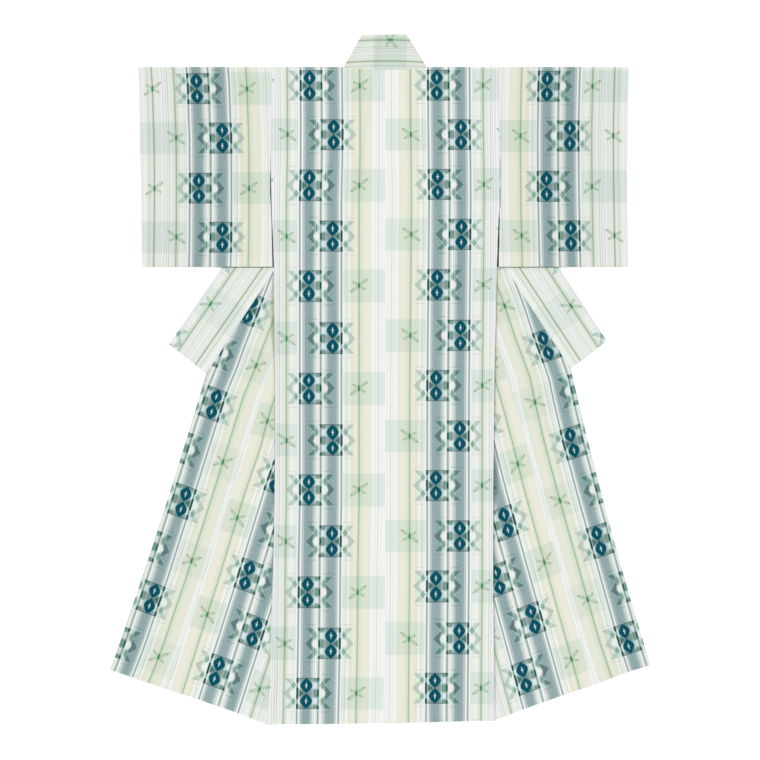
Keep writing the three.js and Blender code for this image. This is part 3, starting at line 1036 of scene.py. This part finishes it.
def star_figure(colour, du, dv, worn):
    """A faint four-leaved star with a dark upright core. Its long leaves rise to the positive side."""
    core = within(from_centre(du * 0.85, dv * 0.3), 1.0, 0.5)
    leaf = either(star_leaves(du, dv, 9.3, -7.0, 1.8), star_leaves(du, dv, 7.2, 4.4, 1.5))
    colour = dyed(colour, leaf * worn, "leaf")
    return dyed(colour, core * 0.95, "core")


def pale_squares(colour, across, dv, odd, share):
    """The pale squares round the stars."""
    tall = within(abs(dv), SQUARE_HALF, 1.0)
    square_b = within(abs(across - SQUARE_B), SQUARE_B_HALF, 0.8) * (1 - odd) * tall
    square_c = within(abs(across - SQUARE_C), SQUARE_C_HALF, 0.8) * odd * tall
    colour = colour_mix(square_b * share, colour, SQUARE_B_TINT, "MULTIPLY")
    return colour_mix(square_c * share, colour, SQUARE_C_TINT, "MULTIPLY")


def figure_rows(colour, across, row, look):
    """Rows of figures, each thread of them a little out of place along the warp."""
    ragged = (noise(across, 2.3, 1.0) - 0.5) * RAGGED
    nearest = calculate("ROUND", row)
    dv = (row - nearest) * ROW_PITCH + ragged
    odd = calculate("PINGPONG", nearest, 1.0)
    eye_du = blend(odd, across - EYE_ON_BAND_2, EYE_ON_BAND_1 - across)
    right_half = calculate("GREATER_THAN", across, BETWEEN_STARS)
    star_at = blend(odd, STAR_B, blend(right_half, look.first_star, STAR_C))
    star_du = (across - star_at) * blend(odd, -1.0, 1.0)
    worn = beyond(mottle(across * 0.9, row * ROW_PITCH * 2.2, 4.0), 0.33, 0.28)
    colour = pale_squares(colour, across, dv, odd, look.square_share)
    beside_frame = calculate("MAXIMUM", eye_du - LIGHT_LINE, BAND_LINE - eye_du)
    tinged = within(abs(dv), FIGURE_ROW_HALF, 1.5) * within(beside_frame, FIGURE_ROW_REACH, 3.0)
    colour = colour_mix(tinged, colour, (*look.figure_tint, 1), "MULTIPLY")
    colour = side_figures(colour, eye_du, dv, worn, look.light_share)
    colour = eye_figure(colour, eye_du, dv, worn)
    return star_figure(colour, star_du, dv, worn)


def uneven_threads(colour, across, length, warp, tint):
    """Threads of slightly different tints, more so in the two bands, times the piece's tint of painted light
    or shade.
    """
    weft = mottle(across * 0.3, length * 1.4, 3.0)
    banded = either(*(within(abs(across - middle), BAND_HALF, 2.0) for middle in BAND_MIDDLES))
    level = (warp - 0.5) * WARP_CONTRAST + (weft - 0.5) * (banded * BAND_CONTRAST + WEFT_CONTRAST) + 1
    return colour_mix(1.0, colour, combine(*(level * part for part in tint)), "MULTIPLY")


def shaded_cloth(colour, across):
    """The painted shades beside upper layers, and the painted shade of the strip in the slit."""
    from_edge, depth = chart_places("shade")
    colour = colour_mix(within(from_edge, SHADE_END, SHADE_SOFT) * depth, colour, LAYER_SHADE, "MULTIPLY")
    in_slit_shadow = calculate("GREATER_THAN", across, (LOOM_WIDTH + SLIT_SHADOW_ACROSS) / 2)
    return colour_mix(in_slit_shadow, colour, dye(*SLIT_SHADE))


def add_weave(shader, across, length, warp):
    turn = 2 * math.pi * THREADS
    weave = calculate("SINE", across * turn) * calculate("SINE", length * turn)
    bump = Field.tree.nodes.new("ShaderNodeBump")
    feed(bump.inputs["Strength"], 0.15)
    feed(bump.inputs["Distance"], 0.0002)
    feed(bump.inputs["Height"], weave * 0.5 + warp)
    Field.tree.links.new(bump.outputs[0], shader.inputs["Normal"])


def chart_places(chart_name):
    """The two numbers that a chart of the mesh gives at each place of the cloth."""
    chart = Field.tree.nodes.new("ShaderNodeUVMap")
    chart.uv_map = chart_name
    split = Field.tree.nodes.new("ShaderNodeSeparateXYZ")
    Field.tree.links.new(chart.outputs[0], split.inputs[0])
    return Field(split.outputs[0]), Field(split.outputs[1])


def figures_look(square_share=1.0, light_share=0.68, tint=FIGURE_TINT, first_star=STAR_A):
    """How strongly the squares and the figures' light sides show, the rows' tint, and the first star."""
    return SimpleNamespace(
        square_share=square_share, light_share=light_share, figure_tint=tint, first_star=first_star
    )


def cloth_material(name, tint, look):
    """The striped cloth with its woven figures. Its tint is painted light or shade over the whole piece."""
    material = bpy.data.materials.new(name)
    material.use_nodes = True
    Field.tree = material.node_tree
    shader = Field.tree.nodes["Principled BSDF"]
    across, row = chart_places("cloth")
    length = row * ROW_PITCH
    warp = noise(across, 3.1, 3.0)
    colour = figure_rows(stripes(across), across, row, look)
    colour = uneven_threads(colour, across, length, warp, tint)
    feed(shader.inputs["Base Color"], shaded_cloth(colour, across))
    feed(shader.inputs["Roughness"], 0.88)
    feed(shader.inputs["Specular IOR Level"], 0.05)
    add_weave(shader, across, length, warp)
    return material


def combine(red, green, blue):
    node = Field.tree.nodes.new("ShaderNodeCombineColor")
    for socket, value in zip(node.inputs, (red, green, blue)):
        feed(socket, value)
    return Field(node.outputs[0])


# Stage
def make_camera():
    data = bpy.data.cameras.new("camera")
    data.sensor_width = SENSOR
    data.lens = SENSOR * CAMERA_HEIGHT / (PICTURE * PIXEL / 1000)
    data.clip_end = 100
    camera = bpy.data.objects.new("camera", data)
    middle = PICTURE / 2
    camera.location = (
        (SEAM_X + (middle - SEAM_PIXEL) * PIXEL) / 1000,
        (SHOULDER_Y - (middle - SHOULDER_PIXEL) * PIXEL) / 1000,
        CAMERA_HEIGHT,
    )
    bpy.context.scene.collection.objects.link(camera)
    bpy.context.scene.camera = camera


def make_floor():
    mesh = bmesh.new()
    bmesh.ops.create_grid(mesh, x_segments=1, y_segments=1, size=FLOOR_HALF)
    data = bpy.data.meshes.new("floor")
    mesh.to_mesh(data)
    mesh.free()
    floor = bpy.data.objects.new("floor", data)
    floor.location.z = -FLOOR_DROP
    bpy.context.scene.collection.objects.link(floor)
    material = bpy.data.materials.new("white_floor")
    material.use_nodes = True
    shader = material.node_tree.nodes["Principled BSDF"]
    feed(shader.inputs["Base Color"], (0.985, 0.985, 0.985, 1))
    feed(shader.inputs["Roughness"], 1.0)
    feed(shader.inputs["Specular IOR Level"], 0.0)
    feed(shader.inputs["Emission Color"], (1, 1, 1, 1))
    feed(shader.inputs["Emission Strength"], 0.12)
    data.materials.append(material)


def make_light():
    world = bpy.data.worlds.new("studio")
    world.use_nodes = True
    background = world.node_tree.nodes["Background"]
    feed(background.inputs["Color"], (1, 1, 1, 1))
    feed(background.inputs["Strength"], 0.66)
    bpy.context.scene.world = world
    data = bpy.data.lights.new("window", "SUN")
    data.energy = 1.38
    data.angle = math.radians(35)
    light = bpy.data.objects.new("window", data)
    light.rotation_euler = (math.radians(-24), math.radians(-22), 0)
    bpy.context.scene.collection.objects.link(light)
    bpy.context.scene.view_settings.view_transform = "Standard"


def add_piece(name, patches, thickness, material):
    piece = cloth_object(name, patches, thickness)
    piece.data.materials.append(material)
    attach(piece, "root")
    return piece


make_camera()
make_floor()
make_light()
# Each piece's material has its own tint of painted light or shade: lighter on the body, about even on the
# collar ends, darker on the okumi, sleeves and neck
body_cloth = cloth_material("body_cloth", BODY_PAINTED_LIGHT, figures_look(square_share=0.95))
okumi_cloth = cloth_material(
    "okumi_cloth", OKUMI_PAINTED_SHADE, figures_look(square_share=0.55, light_share=0.55, tint=DEEP_FIGURE_TINT)
)
sleeve_cloth = cloth_material("sleeve_cloth", SLEEVE_PAINTED_SHADE, figures_look(tint=DEEP_FIGURE_TINT))
collar_cloth = cloth_material("collar_cloth", COLLAR_PAINTED_LIGHT, figures_look(square_share=0.6, first_star=STAR_C))
neck_cloth = cloth_material("neck_cloth", NECK_PAINTED_SHADE, figures_look())

for side in (LEFT, RIGHT):
    body = add_piece(
        f"body_cloth_{side.name}", body_patches(side), CLOTH, body_cloth,
    )
    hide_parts(f"body_{side.name}")
    okumi = add_piece(
        f"okumi_cloth_{side.name}", okumi_patches(side), CLOTH, okumi_cloth,
    )
    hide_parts(f"okumi_{side.name}")
    sleeve = add_piece(
        f"sleeve_cloth_{side.name}", sleeve_patches(side), CLOTH, sleeve_cloth,
    )
    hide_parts(f"sleeve_{side.name}")
    collar = add_piece(
        f"collar_cloth_{side.name}", collar_end_patches(side), COLLAR_CLOTH, collar_cloth,
    )
    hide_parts(f"collar_{side.name}")

neck = add_piece(
    "collar_cloth_neck", neck_patches(LEFT) + neck_patches(RIGHT), COLLAR_CLOTH, neck_cloth,
)
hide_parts("collar_neck")
